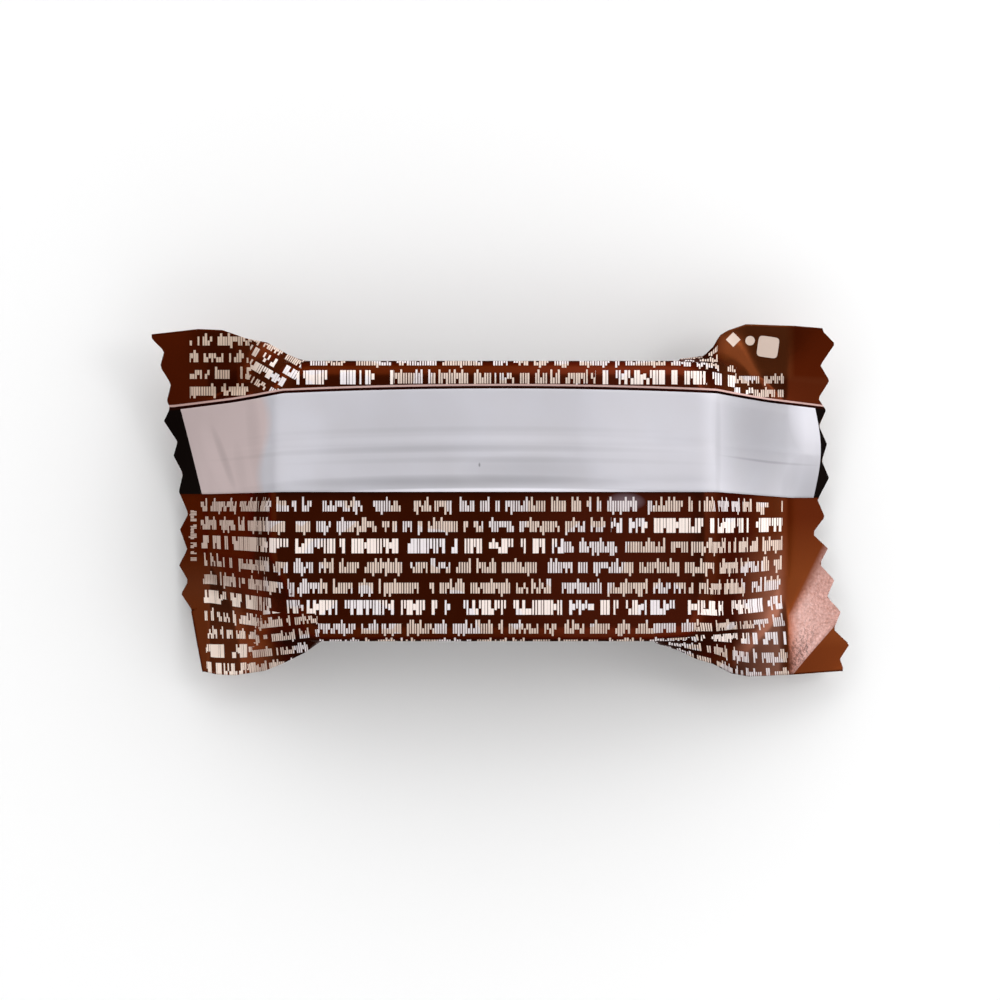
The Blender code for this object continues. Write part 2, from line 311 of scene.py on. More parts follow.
# The paler inside of the film, which shows on the fin.
FIN_ROUGHNESS, FIN_SPECULAR = 0.4, 0.01
FIN_NOISE, FIN_CRINKLE_NOISE = (0.3, 3.0), (1.2, 4.0)
FIN_CRINKLE_DEPTH, FIN_CRINKLE_STRENGTH = 0.03, 0.3
FIN_COLOUR, FIN_SHADE = (0.54, 0.535, 0.585), (0.51, 0.495, 0.525)

# The fin's left part lies past a fold, which winds round FIN_FOLD_AT: how far, over what length of half a
# wave, and how sharp its edge is.
# The left part's colour is painted shade: darker and pinker, as it turns away from the light.
FIN_LEFT_SHADE_COLOUR = (0.575, 0.47, 0.465)
FIN_FOLD_AT, FIN_FOLD_SWAY, FIN_FOLD_HALF_WAVE, FIN_FOLD_SHARPNESS = -22.3, 0.5, 5.0, 1.2

# The black marks at the fin's ends: the left one's side leans, and the right one's side is an arc.
MARK_COLOUR = (0.004, 0.002, 0.0015)
LEFT_MARK_AT, LEFT_MARK_LEAN = -30.3, 1.9 / 8.5
RIGHT_MARK_AT, RIGHT_MARK_SWAY, RIGHT_MARK_HALF_WAVE = 29.9, 0.55, 8.4

# Painted light and shade of the fin, and one small dark speck: soft patches that stand for its creases, its
# bright free edge and its slopes turned to or from the light. Each gives x, half length, distance from the
# root, half width, how far x moves for each millimetre from the root, and change of brightness.
FIN_PAINTED_SHADING_AND_SPECK = (
    (-5.0, 24.0, 5.65, 0.4, 0.0, -0.15),
    (-3.0, 24.0, 4.75, 0.45, 0.0, 0.09),
    (-4.0, 22.0, 3.8, 0.35, 0.0, -0.07),
    (0.0, 22.0, 6.7, 0.35, 0.0, -0.09),
    (-6.0, 20.0, 8.8, 0.8, 0.0, -0.24),
    (3.0, 7.0, 7.6, 1.6, 0.0, -0.14),
    # Painted highlight along the fin's free edge.
    (-2.0, 26.0, 9.66, 0.33, 0.0, 0.65),
    (-9.5, 8.0, 5.0, 7.0, 0.0, -0.07),
    (14.5, 7.5, 3.0, 10.0, 0.0, 0.12),
    (-19.5, 3.5, 5.0, 7.0, 0.0, 0.05),
    (24.4, 4.6, 3.0, 9.0, 0.0, -0.36),
    (29.5, 3.0, 9.0, 4.5, 0.0, -0.30),
    (29.6, 2.4, 0.5, 4.5, 0.0, 0.32),
    (25.5, 5.2, 5.8, 0.16, 0.0, -0.14),
    (20.6, 0.35, 5.0, 6.0, 0.0, -0.10),
    (-26.2, 0.45, 5.4, 3.6, 0.33, -0.15),
    (-27.1, 0.9, 5.4, 4.2, 0.33, 0.05),
    (-24.6, 0.6, 6.5, 3.0, 0.15, -0.06),
    (-23.2, 0.8, 4.0, 6.0, 0.1, -0.09),
    # A small dark speck on the film itself.
    (-1.94, 0.12, 7.2, 0.25, 0.0, -0.5),
)

# The floor, the camera and the light.
FLOOR_COLOUR, FLOOR_ROUGHNESS, FLOOR_REACH = (0.94, 0.94, 0.94), 0.9, 2.0
CAMERA_HEIGHT, SENSOR_WIDTH, CLIP_START = 2.0, 36.0, 0.01
PICTURE_WIDTH = 94.4  # how many millimetres the picture spans at the height of the pack's back
PICTURE_RISE = 0.1  # how far above the pack's middle the picture's middle lies
ZENITH_EDGE = (0.72, 0.92)  # sines of the elevations between which the sky darkens
RING_LIGHT, ZENITH_LIGHT = 1.5, 0.05
SKY_SLANT = (0.4, 0.4)  # how much brighter the sky is to the right and to the top
KEY_DIRECTION, KEY_DISTANCE, KEY_SIZE, KEY_POWER = (16.0, 47.0), 0.35, 0.09, 0.13


def smooth(low, high, x):
    t = np.clip((x - low) / (high - low), 0.0, 1.0)
    return t * t * (3 - 2 * t)


def half_profile():
    """The bar's section from the middle of its back to the middle of its front: y, z and length so far."""
    side, depth = BODY_WIDTH / 2, BODY_HEIGHT - BACK_EDGE_RADIUS
    turn = np.linspace(0.0, math.pi / 2, EDGE_POINTS)
    edge_y = side - BACK_EDGE_RADIUS * (1 - np.sin(turn))
    edge_z = BODY_HEIGHT - BACK_EDGE_RADIUS * (1 - np.cos(turn))
    turn = np.linspace(0.0, math.pi / 2, FRONT_POINTS)[1:]
    front_y = side * np.cos(turn) ** (2 / FRONT_FULLNESS)
    front_z = depth * (1 - np.sin(turn) ** (2 / FRONT_FULLNESS))
    y = np.concatenate([[0.0], edge_y, front_y])
    z = np.maximum(np.concatenate([[BODY_HEIGHT], edge_z, front_z]) - RESTING_SPOT, 0.0)
    return y, z, np.concatenate([[0.0], np.cumsum(np.hypot(np.diff(y), np.diff(z)))])


PROFILE_Y, PROFILE_Z, PROFILE_LENGTH = half_profile()
GIRTH = 2 * PROFILE_LENGTH[-1]
BACK_HEIGHT = BODY_HEIGHT - RESTING_SPOT


def on_bar(arc):
    """Where the film point at an arc length from the back's middle line sits on the bar's section."""
    arc = np.where(arc < -GIRTH / 2, arc + GIRTH, arc)
    y = np.interp(np.abs(arc), PROFILE_LENGTH, PROFILE_Y)
    z = np.interp(np.abs(arc), PROFILE_LENGTH, PROFILE_Z)
    return np.copysign(y, arc), z


def net_lines():
    """The net's lines round the pack, in runs: places in both seals and on the bar, kind and lift."""
    far_fold = (UPPER_FOLD[0], UPPER_FOLD[1] - GIRTH, UPPER_FOLD[2], 0)
    runs = (  # kind, lift, where the run starts, where the next one starts, and how many lines it has
        ("back", 0.0, UPPER_FOLD, FIRST_PRINT, 30),
        ("back", 0.0, FIRST_PRINT, FIN_ROOT, 8),
        ("fin", FIN_GAP + FILM, FIN_ROOT, FIN_EDGE, 40),
        ("under", FIN_GAP, FIN_EDGE, FIN_ROOT, 40),
        ("back", 0.0, FIN_ROOT, FIN_EDGE, 24),
        ("back", 0.0, FIN_EDGE, UNDER_FIN_EDGE, 5),
        ("back", 0.0, UNDER_FIN_EDGE, LOWER_FOLD, 70),
        ("front", 0.0, LOWER_FOLD, far_fold, 80),
    )
    places, kinds, lifts = [], [], []
    for kind, lift, start, end, count in runs:
        steps = np.arange(1 if kind == "under" else 0, count) / count
        for step in steps:
            places.append([a + (b - a) * step for a, b in zip(start, end)])
            kinds.append("back" if kind == "front" and step == 0 else kind)
            lifts.append(lift)
    left_y, arc, right_y, bow = np.array(places).T[:, :, None]
    return left_y, arc, right_y, bow, np.array(kinds), np.array(lifts)[:, None]


LEFT_Y, ARC, RIGHT_Y, BOW, KIND, LIFT = net_lines()
IS_FRONT = (KIND == "front")[:, None]
IS_FIN = np.isin(KIND, ("fin", "under"))[:, None]


def cut_distance(end, y):
    """How far out the zigzag cut lies at y in a seal."""
    distances, places = np.array(end.cut[::-1]).T
    return np.interp(y, places, distances)


def across(heights, y):
    """The height at y of a curve through the upper corner, the middle and the lower corner."""
    upper, middle, lower = heights
    t = y / UPPER_FOLD[0]
    return middle + (upper - lower) / 2 * t + ((upper + lower) / 2 - middle) * t**2


def corner_fold(y):
    """How far out the fold of the lower left corner lies at y."""
    (top, top_y), (bottom, bottom_y) = CORNER_FOLD_TOP, CORNER_FOLD_BOTTOM
    return top + (bottom - top) * (y - top_y) / (bottom_y - top_y)


def slope_share(end, distance, y):
    """How far the back's film has come down from the bar to the seal, from 0 to 1."""
    rows = np.array(end.slopes)
    start, knee, share, full = (np.interp(y, rows[:, 0], rows[:, n]) for n in range(1, 5))
    upper = np.clip((distance - start) / (knee - start), 0.0, 1.0) * share
    return upper + np.clip((distance - knee) / (full - knee), 0.0, 1.0) * (1 - share)


def soften(values, passes):
    """Round the creases across the stations, so that the film bends over a millimetre and not at a point."""
    for _ in range(passes):
        inner = (values[:, :-2] + 2 * values[:, 1:-1] + values[:, 2:]) / 4
        values = np.hstack([values[:, :1], inner, values[:, -1:]])
    return values


def teeth_middle(end, y):
    """How far out the middle of the teeth lies at y."""
    distance = end.teeth_middle
    for side, start, length, reach, power in end.flares:
        distance = distance + reach * np.maximum(side * (y - start) / length, 0.0) ** power
    return distance


def widening(end, distance, y):
    """How far the film has moved sideways from its place on the bar to its place in the seal, from 0 to 1."""
    fold_y, seal_y = float(on_bar(np.array(UPPER_FOLD[1]))[0]), UPPER_FOLD[0]
    sides = []
    for outline in (end.upper_outline, end.lower_outline):
        knots, widths = np.array(outline).T
        sides.append(np.interp(distance, knots, (widths - fold_y) / (seal_y - fold_y), left=0.0))
    outer = np.where(y > 0, *sides)
    upper = np.clip((distance - WIDEN_FROM) / WIDEN_ABOVE, 0.0, 1.0)
    lower = np.clip((distance - WIDEN_FROM) / WIDEN_BELOW, 0.0, 1.0)
    inner = lower + (upper - lower) * smooth(*WIDEN_MEET, y)
    return inner + (outer - inner) * smooth(*OUTLINE_FROM, np.abs(y))


def end_points(end):
    """One end's film, from BODY_END to the cut, as distance, y and z of each line and station."""
    y_seal = LEFT_Y if end is LEFT else RIGHT_Y
    cut = cut_distance(end, y_seal)
    neck = teeth_middle(end, y_seal) - NECK
    folded = (y_seal < CORNER_FOLD_TOP[1]) & (end is LEFT)
    neck = np.where(folded, corner_fold(y_seal), neck)
    shares = np.arange(1, STATIONS_END + 1)[None, :] / STATIONS_END
    teeth = np.arange(1, STATIONS_TEETH + 1)[None, :] / STATIONS_TEETH
    distance = np.hstack([BODY_END + (neck - BODY_END) * shares, neck + (cut - neck) * teeth])
    y_seal = y_seal + 0 * distance
    down = soften(slope_share(end, distance, y_seal), end.softness)
    front_down = np.clip((distance - FRONT_RISE_START) / (end.seal - FRONT_RISE_START), 0.0, 1.0)
    front_down = front_down**FRONT_RISE_POWER
    ear = smooth(*EAR, np.abs(y_seal))
    down = np.where(IS_FRONT, front_down + (down - front_down) * ear, down)
    beyond = np.maximum(distance - end.seal, 0.0) / (teeth_middle(end, y_seal) - end.seal)
    seal_height = across(end.seal_heights, y_seal)
    height = seal_height + (across(end.cut_heights, y_seal) - seal_height) * beyond
    height = height + FILM / 2 * np.where(IS_FRONT, -1, 1)
    bar_y, bar_z = on_bar(film_place(end.sign * distance))
    z = bar_z + (height - bar_z) * down
    y = bar_y + (y_seal - bar_y) * widening(end, distance, y_seal)
    return distance, y, z, folded


def root_bow(x):
    """How far the fin's root bows at x from its place in the middle of the pack."""
    return ROOT_BOW * np.minimum((x / ROOT_BOW_AT) ** 2, ROOT_BOW_LIMIT)


def film_place(x):
    """The arc length of each line's film point at x."""
    return ARC - BOW * root_bow(x)


def fold_corner_under(x, y, z):
    """Mirror what lies beyond the lower left corner's fold, so that it lies under the sloping seal."""
    fall = across(LEFT.seal_heights, LEFT_Y) - across(LEFT.cut_heights, LEFT_Y)
    droop = fall / (teeth_middle(LEFT, LEFT_Y) - LEFT.seal)
    (top, top_y), (bottom, bottom_y) = CORNER_FOLD_TOP, CORNER_FOLD_BOTTOM
    along = np.array([bottom - top, bottom_y - top_y])
    along /= np.hypot(*along)
    outward = np.array([-along[1], along[0]])
    past = (-x - top) * outward[0] + (y - top_y) * outward[1]
    under = np.maximum(past, 0.0)
    folded_x, folded_y = x + 2 * under * outward[0], y - 2 * under * outward[1]
    rise = droop * (np.maximum(-x - LEFT.seal, 0.0) - np.maximum(-folded_x - LEFT.seal, 0.0))
    return folded_x, folded_y, np.where(past > 0.01, z + rise - CORNER_FOLD_DROP, z)


def bend_corner_down(x, y, z):
    """Bend the lower right corner of the seal down along its crease."""
    (top, top_y), (bottom, bottom_y) = CORNER_CREASE
    along = np.array([bottom - top, bottom_y - top_y])
    along /= np.hypot(*along)
    past = np.maximum((y - top_y) * along[0] - (x - top) * along[1], 0.0)
    return np.where(x > CORNERS_FROM, z - CORNER_BEND * past, z)


def value_noise(x, y, cell, seed):
    """Smooth random relief between -1 and 1 with bumps about one cell wide."""
    grid = np.random.RandomState(seed).uniform(-1, 1, NOISE_GRID)
    u, v = x / cell + NOISE_AT[0], y / cell + NOISE_AT[1]
    column, row = np.floor(u).astype(int), np.floor(v).astype(int)
    s, t = smooth(0.0, 1.0, u - column), smooth(0.0, 1.0, v - row)
    low = grid[row, column] * (1 - s) + grid[row, column + 1] * s
    high = grid[row + 1, column] * (1 - s) + grid[row + 1, column + 1] * s
    return low * (1 - t) + high * t


def relief(x, y):
    """The height of the ripples and creases in the film's back."""
    height = sum(top * value_noise(x, y, cell, seed) for top, cell, seed in RIPPLES)
    for (x1, y1), (x2, y2), top, width in CREASES:
        length = math.hypot(x2 - x1, y2 - y1)
        along = ((x - x1) * (x2 - x1) + (y - y1) * (y2 - y1)) / length
        aside = ((y - y1) * (x2 - x1) - (x - x1) * (y2 - y1)) / length
        reach = smooth(-CREASE_TAPER, CREASE_TAPER, along)
        reach = reach * smooth(length + CREASE_TAPER, length - CREASE_TAPER, along)
        height = height + top * np.maximum(1 - np.abs(aside) / width, 0.0) * reach
    return height


def net_points():
    """All points of the net, as x, y and z of each line and station, from the left cut to the right cut."""
    left, left_y, left_z, folded = end_points(LEFT)
    right, right_y, right_z, _ = end_points(RIGHT)
    body_x = np.linspace(-BODY_END, BODY_END, STATIONS_BODY + 1)[None, :] + 0 * ARC
    body_y, body_z = on_bar(film_place(body_x))
    x = np.hstack([-left[:, ::-1], body_x, right])
    y = np.hstack([left_y[:, ::-1], body_y, right_y])
    z = np.hstack([left_z[:, ::-1], body_z, right_z])
    x_folded, y_folded, z_folded = fold_corner_under(x, y, z)
    at_corner = folded & (x < -CORNERS_FROM)
    x, y, z = (np.where(at_corner, a, b) for a, b in zip((x_folded, y_folded, z_folded), (x, y, z)))
    z = bend_corner_down(x, y, z)
    on_back = np.minimum(smooth(*RELIEF_SIDES, np.abs(y)) + smooth(*RELIEF_ENDS, np.abs(x)), 1.0)
    on_front = smooth(*FRONT_RELIEF_ENDS, np.abs(x))
    z = z + relief(x, y) * np.where(IS_FRONT, on_front, on_back)
    z = z + LIFT + fin_lift(x, y) * IS_FIN
    return x, y, z


def fin_lift(x, y):
    """How much the fin stands off the back, most at its free edge."""
    wave = FIN_LIFT
    for height, length, start in FIN_WAVES:
        wave = wave + height * np.sin(x / length + start)
    return smooth(*FIN_FREE, y) * wave * smooth(*FIN_SEALED, np.abs(x))


def along_film(x):
    """Each net point's place along the film, counted on the bar and inwards from the print's two margins.

    The left margin lies at -PRINT_END and the right one at PRINT_END.
    """
    places = []
    for end, y_seal in ((LEFT, LEFT_Y), (RIGHT, RIGHT_Y)):
        distances, heights = np.array(end.margin[::-1]).T
        margin = np.interp(y_seal, heights, distances)
        upper = smooth(*ADVANCE_CHANGE, y_seal)
        film_length, film_margin = end.sign * x, margin
        previous = 1.0
        for start, above_fin, below_fin in end.advance:
            rate = below_fin + (above_fin - below_fin) * upper
            film_length = film_length + np.maximum(end.sign * x - start, 0.0) * (rate - previous)
            film_margin = film_margin + np.maximum(margin - start, 0.0) * (rate - previous)
            previous = rate
        places.append(end.sign * (PRINT_END + film_length - film_margin))
    return places[0], x, places[1]


class Facet:
    """A flat fold of the back's film, on which the print runs at a slant."""

    def __init__(self, corners, angle, row_at, row, pitch, squeeze, start=0.0):
        self.corners = corners  # in plan, counterclockwise
        self.angle = math.radians(angle)
        self.row_at, self.row = row_at, row  # a point on one row of print, and that row's place on the film
        self.start = start  # that point's place along the film
        self.pitch, self.squeeze = pitch, squeeze  # the rows' distance, and how much shorter the print looks

    def holds(self, x, y):
        inside = np.ones(x.shape, bool)
        for (x1, y1), (x2, y2) in zip(self.corners, self.corners[1:] + self.corners[:1]):
            inside &= (x2 - x1) * (y - y1) - (y2 - y1) * (x - x1) > 0
        return inside

    def print_place(self, x, y):
        right, up = math.cos(self.angle), math.sin(self.angle)
        along = (x - self.row_at[0]) * right + (y - self.row_at[1]) * up
        aside = (y - self.row_at[1]) * right - (x - self.row_at[0]) * up
        return self.start + along * self.squeeze, self.row + aside * UPPER_PITCH / self.pitch


FACETS = (
    Facet(((-33.5, 7.6), (-23.8, 9.5), (-23.6, 17.0), (-33.5, 17.0)),
          0.0, (-29.4, 10.5), 11.7, 1.58, 1.0, -PRINT_END),
    Facet(((22.1, 9.0), (33.5, 7.6), (33.5, 17.2), (22.9, 17.2)),
          0.0, (26.9, 10.27), 11.7, 1.29, 1.2, PRINT_END),
    Facet(((-23.8, 9.5), (-19.6, 10.6), (-18.6, 13.4), (-21.0, 14.6), (-23.6, 15.4)),
          -30.0, (-21.9, 13.4), 15.5, 1.18, 1.2),
    Facet(((-22.4, -10.4), (-24.2, -16.6), (-19.5, -15.6), (-17.0, -13.2), (-17.4, -10.6)),
          6.5, (-19.9, -12.7), -13.93, 1.32, 1.25),
    Facet(((-29.5, -5.7), (-28.75, -5.7), (-28.75, -1.0), (-29.5, -1.0)),
          90.0, (-29.15, -3.0), -2.315, 1.1, 1.7),
)
def face_corners(values):
    """The values at the four corners of each face of the net, from a value for each point."""
    closed = np.vstack([values, values[:1]])
    return np.stack([closed[:-1, :-1], closed[:-1, 1:], closed[1:, 1:], closed[1:, :-1]], axis=-1)


def print_map(x, y, place):
    """The print map's two values at each face corner."""
    left, body, right = (face_corners(values) for values in along_film(x))
    corner_x, corner_y = face_corners(x), face_corners(y)
    middle_x, middle_y = corner_x.mean(axis=-1), corner_y.mean(axis=-1)
    seal_y = np.where(middle_x < 0, LEFT_Y, RIGHT_Y)
    creases = []
    for end in (LEFT, RIGHT):
        rows = np.array(end.slopes)
        creases.append(end.sign * np.interp(seal_y, rows[:, 0], rows[:, 1]))
    along = np.where((middle_x < creases[0])[..., None], left, body)
    along = np.where((middle_x > creases[1])[..., None], right, along)
    across_film = face_corners(place)
    across_film[-1, :, 2:] -= GIRTH
    across_film = across_film + RIGHT_DROOP * smooth(*DROOP_X, corner_x) * smooth(*DROOP_Y, corner_y)
    for facet in FACETS:
        on_facet = (facet.holds(middle_x, middle_y) & ~IS_FRONT & ~IS_FIN)[..., None]
        facet_along, facet_across = facet.print_place(corner_x, corner_y)
        along = np.where(on_facet, facet_along, along)
        across_film = np.where(on_facet, facet_across, across_film)
    return along, across_film


def build_film():
    x, y, z = net_points()
    lines, stations = x.shape
    place = film_place(x)
    from_root = face_corners(place - (FIN_ROOT[1] - root_bow(x)))
    from_root[-1, :, 2:] -= GIRTH
    spread = np.cumsum(np.where(KIND == "front", FRONT_SHARE, BACK_SHARE))
    flat_v = face_corners(np.tile(spread[:, None] - BACK_SHARE, (1, stations)))
    flat_v[-1, :, 2:] = spread[-1] - BACK_SHARE + FRONT_SHARE
    flat_v = FLAT_MARGIN + FLAT_SIZE * flat_v / flat_v.max()
    flat_u = FLAT_MARGIN + FLAT_SIZE * np.arange(stations) / (stations - 1)
    flat_u = face_corners(np.tile(flat_u, (lines, 1)))
    index = face_corners(np.arange(lines * stations).reshape(lines, stations))
    mesh = bpy.data.meshes.new(NODE + "_film")
    points = np.stack([x, y, z], axis=-1).reshape(-1, 3) * MM
    mesh.from_pydata(points.tolist(), [], index.reshape(-1, 4).astype(int).tolist())
    maps = {
        "OFBake": (flat_u, flat_v),
        "print": print_map(x, y, place),
        "seam": (face_corners(x), from_root),
    }
    for name, values in maps.items():
        flat = np.stack(values, axis=-1).reshape(-1).astype(np.float32)
        mesh.uv_layers.new(name=name).data.foreach_set("uv", flat)
    film = bpy.data.objects.new(NODE + "_film", mesh)
    bpy.context.scene.collection.objects.link(film)
    mesh.materials.append(brown_film())
    mesh.materials.append(fin_film())
    is_fin = np.repeat(IS_FIN[:, 0], stations - 1)
    mesh.polygons.foreach_set("material_index", is_fin.astype(np.int32))
    mesh.shade_smooth()
    return film


class Field:
    """A number that varies over the film: an output in a shader's node tree, with plain arithmetic."""

    def __init__(self, tree, socket):
        self.tree, self.socket = tree, socket

    def math(self, operation, *others):
        node = self.tree.nodes.new("ShaderNodeMath")
        node.operation = operation
        for slot, value in zip(node.inputs, (self, *others)):
            if isinstance(value, Field):
                self.tree.links.new(value.socket, slot)
            else:
                slot.default_value = value
        return Field(self.tree, node.outputs[0])

    def __add__(self, other):
        return self.math("ADD", other)

    def __sub__(self, other):
        return self.math("SUBTRACT", other)

    def __mul__(self, other):
        return self.math("MULTIPLY", other)

    def __truediv__(self, other):
        return self.math("DIVIDE", other)

    def flip(self):
        """1 where this is 0 and 0 where it is 1."""
        return (self * -1) + 1

    def whole(self):
        return self.math("FLOOR")

    def rest(self):
        return self.math("FRACT")

    def over(self, limit):
        return self.math("GREATER_THAN", limit)

    def under(self, limit):
        return self.math("LESS_THAN", limit)

    def within(self, low, high):
        return self.over(low) * self.under(high)

    def limited(self):
        """The same number, kept between 0 and 1."""
        return self.math("MINIMUM", 1.0).math("MAXIMUM", 0.0)

    def pick(self, where_one, where_zero):
        """One of two values, by whether this is 1 or 0."""
        return self * (where_one - where_zero) + where_zero


def uv_fields(tree, name):
    node = tree.nodes.new("ShaderNodeUVMap")
    node.uv_map = name
    split = tree.nodes.new("ShaderNodeSeparateXYZ")
    tree.links.new(node.outputs[0], split.inputs[0])
    return Field(tree, split.outputs[0]), Field(tree, split.outputs[1])


def chance(tree, first, second, seed):
    """A random number between 0 and 1 for each pair of whole numbers."""
    join = tree.nodes.new("ShaderNodeCombineXYZ")
    tree.links.new(first.socket, join.inputs[0])
    tree.links.new(second.socket, join.inputs[1])
    join.inputs[2].default_value = seed
    node = tree.nodes.new("ShaderNodeTexWhiteNoise")
    node.noise_dimensions = "3D"
    tree.links.new(join.outputs[0], node.inputs["Vector"])
    return Field(tree, node.outputs["Value"])


def changed(height, changes, luck, heavy):
    """A stroke's top or bottom, varied by its luck."""
    for lucky, plain_change, heavy_change in changes:
        height = height + luck.within(*lucky) * heavy.pick(heavy_change, plain_change)
    return height


def gaps(tree, number, row):
    """1 where a pair of strokes is left out, and never two chance gaps side by side."""
    by_chance = chance(tree, number, row, 1.0).under(NO_PAIR)
    by_chance = by_chance * chance(tree, number - 1, row, 1.0).over(NO_PAIR)
    always = (number / LONGEST_GROUP).rest().under(0.05)
    return (by_chance + always).math("MINIMUM", 1.0)


def printed(tree):
    """Where the film is printed: rows of plain upright strokes in groups, like very small writing."""
    along, across_film = uv_fields(tree, "print")
    plan_x, from_root = uv_fields(tree, "seam")
    upper = from_root.over(0.0)
    upper_place = (across_film - UPPER_ROW) / UPPER_PITCH
    place = upper.pick(upper_place, (across_film - LOWER_ROW) / -LOWER_PITCH) + 0.5
    row = place.whole() + upper * UPPER_NUMBERS
    rise = (place.rest() - 0.5) * upper.pick(UPPER_PITCH, -LOWER_PITCH)
    heavy = None
    for number, start, end in HEAVY_RUNS:
        run = row.within(number - 0.5, number + 0.5) * plan_x.within(start, end)
        heavy = run if heavy is None else heavy + run
    pair = (along + row * ROW_SHIFT) / heavy.pick(HEAVY_PAIR, PAIR)
    number = pair.whole()
    strokes = None
    for seed, seat in SEATS:
        luck = chance(tree, number, row, seed)
        half = luck.within(*THIN_LUCK).pick(THIN, THICK)
        half = half + heavy * luck.within(*NOT_HEAVIER_LUCK).pick(0.0, HEAVIER)
        half = half + plan_x.under(BROADER_TO) * BROADER
        top = changed(heavy.pick(HEAVY_TOP, TOP), TOP_CHANGES, luck, heavy)
        bottom = changed(heavy.pick(HEAVY_BOTTOM, BOTTOM), BOTTOM_CHANGES, luck, heavy)
        stroke = (pair.rest() - seat).math("ABSOLUTE").under(half) * rise.under(top) * rise.over(bottom)
        strokes = stroke if strokes is None else strokes + stroke * luck.over(NO_SECOND)
    margins = along.within(-PRINT_END, PRINT_END)
    rows_here = across_film.within(*LOWER_ROWS) + across_film.within(*UPPER_ROWS) * upper
    bare = plan_x.over(SIGNS_FROM) * across_film.over(SIGNS_ABOVE)
    left_out = (gaps(tree, number, row) + bare).math("MINIMUM", 1.0)
    return strokes * left_out.flip() * margins * rows_here, heavy


def noise(tree, coordinates, scale, detail, seed=0.0):
    node = tree.nodes.new("ShaderNodeTexNoise")
    node.noise_dimensions = "4D"
    node.inputs["Scale"].default_value = scale
    node.inputs["Detail"].default_value = detail
    node.inputs["W"].default_value = seed
    tree.links.new(coordinates, node.inputs["Vector"])
    return Field(tree, node.outputs["Fac"])


def blend(tree, share, first, second):
    """A colour between two, each a colour or a socket."""
    node = tree.nodes.new("ShaderNodeMix")
    node.data_type = "RGBA"
    tree.links.new(share.socket, node.inputs["Factor"])
    slots = [socket for socket in node.inputs if socket.type == "RGBA"]
    for slot, colour in zip(slots, (first, second)):
        if isinstance(colour, tuple):
            slot.default_value = (*colour, 1.0)
        else:
            tree.links.new(colour, slot)
    return [socket for socket in node.outputs if socket.type == "RGBA"][0]


def new_material(name, roughness, metallic):
    material = bpy.data.materials.new(name)
    material.use_nodes = True
    shader = material.node_tree.nodes["Principled BSDF"]
    shader.inputs["Roughness"].default_value = roughness
    shader.inputs["Metallic"].default_value = metallic
    return material, material.node_tree, shader


def millimetres(tree):
    """Object coordinates scaled to millimetres."""
    place = tree.nodes.new("ShaderNodeTexCoord")
    scale = tree.nodes.new("ShaderNodeVectorMath")
    scale.operation = "SCALE"
    scale.inputs["Scale"].default_value = 1 / MM
    tree.links.new(place.outputs["Object"], scale.inputs[0])
    return scale.outputs[0]


def add_bump(tree, shader, height, depth, strength):
    bump = tree.nodes.new("ShaderNodeBump")
    bump.inputs["Distance"].default_value = depth * MM
    bump.inputs["Strength"].default_value = strength
    tree.links.new(height.socket, bump.inputs["Height"])
    tree.links.new(bump.outputs[0], shader.inputs["Normal"])


def signs(tree, place):
    """Three plain signs in the upper right corner: a diamond, a disc and a rounded square."""
    split = tree.nodes.new("ShaderNodeSeparateXYZ")
    tree.links.new(place, split.inputs[0])
    x, y = Field(tree, split.outputs["X"]), Field(tree, split.outputs["Y"])
    right, up = math.cos(math.radians(SQUARE_TILT)), math.sin(math.radians(SQUARE_TILT))
    from_x, from_y = x - SQUARE_AT[0], y - SQUARE_AT[1]
    along = (from_x * right + from_y * up).math("POWER", SQUARE_FULLNESS)
    aside = (from_y * right - from_x * up).math("POWER", SQUARE_FULLNESS)
    square = (along + aside).under(SQUARE_REACH)
    diamond = (x - DIAMOND_AT[0]).math("ABSOLUTE") + (y - DIAMOND_AT[1]).math("ABSOLUTE")
    disc = (x - DISC_AT[0]).math("POWER", 2.0) + (y - DISC_AT[1]).math("POWER", 2.0)
    return square + diamond.under(DIAMOND_REACH) + disc.under(DISC_RADIUS_SQUARED)


def add_zones(tree, ground, plan_x, down, zones):
    """The ground with the zones' colours blended in, one after another."""
    for (x, x_growth), (depth, depth_growth), colour in zones:
        share = ((plan_x - x) / x_growth).limited() * ((down - depth) / depth_growth).limited()
        ground = blend(tree, share, ground, colour)
    return ground


def lower_right_crimp_and_sheen(plan_x, down):
    """The lower corner of the right seal, from 0 to 1, where the film is finely crinkled and shines, partly
    by its real coat and partly by a painted sheen.
    """
    slant_down, slant_x = CRIMP_SLANT_AT
    start = ((down - slant_down) * CRIMP_SLANT + slant_x).math("MAXIMUM", CRIMP_X)
    right = ((plan_x - start) * CRIMP_X_GROWTH).limited()
    low = ((down - CRIMP_DOWN) * CRIMP_DOWN_GROWTH).limited()
    return right * low * (plan_x + down * CRIMP_END_SLANT - CRIMP_END).under(0.0)


def bare_film_colour(tree, place, plan_x, down, crimp_and_sheen):
    """The colour of the brown film without its print, with painted light and shade of its slopes, facets and
    edges, and painted sheens.
    """
    ground = blend(tree, noise(tree, place, *WORN_NOISE), BROWN, BROWN_WORN)
    ground = add_zones(tree, ground, plan_x, down, BROWN_TONES_AND_PAINTED_SHADING)
    # The painted sheen just below the fin's edge.
    far_along = ((plan_x - SHEEN_AT[0]) / SHEEN_SIZE[0]).math("POWER", 2.0)
    far_across = ((down - SHEEN_AT[1]) / SHEEN_SIZE[1]).math("POWER", 2.0)
    sheen = (far_along + far_across).flip().limited() * SHEEN_SHARE
    ground = blend(tree, sheen, ground, SHEEN_COLOUR)
    # The painted sheen of the lower right corner, broken up by noise.
    return blend(tree, crimp_and_sheen * noise(tree, place, *CRIMP_SHEEN_NOISE), ground, CRIMP_PAINTED_SHEEN_COLOUR)


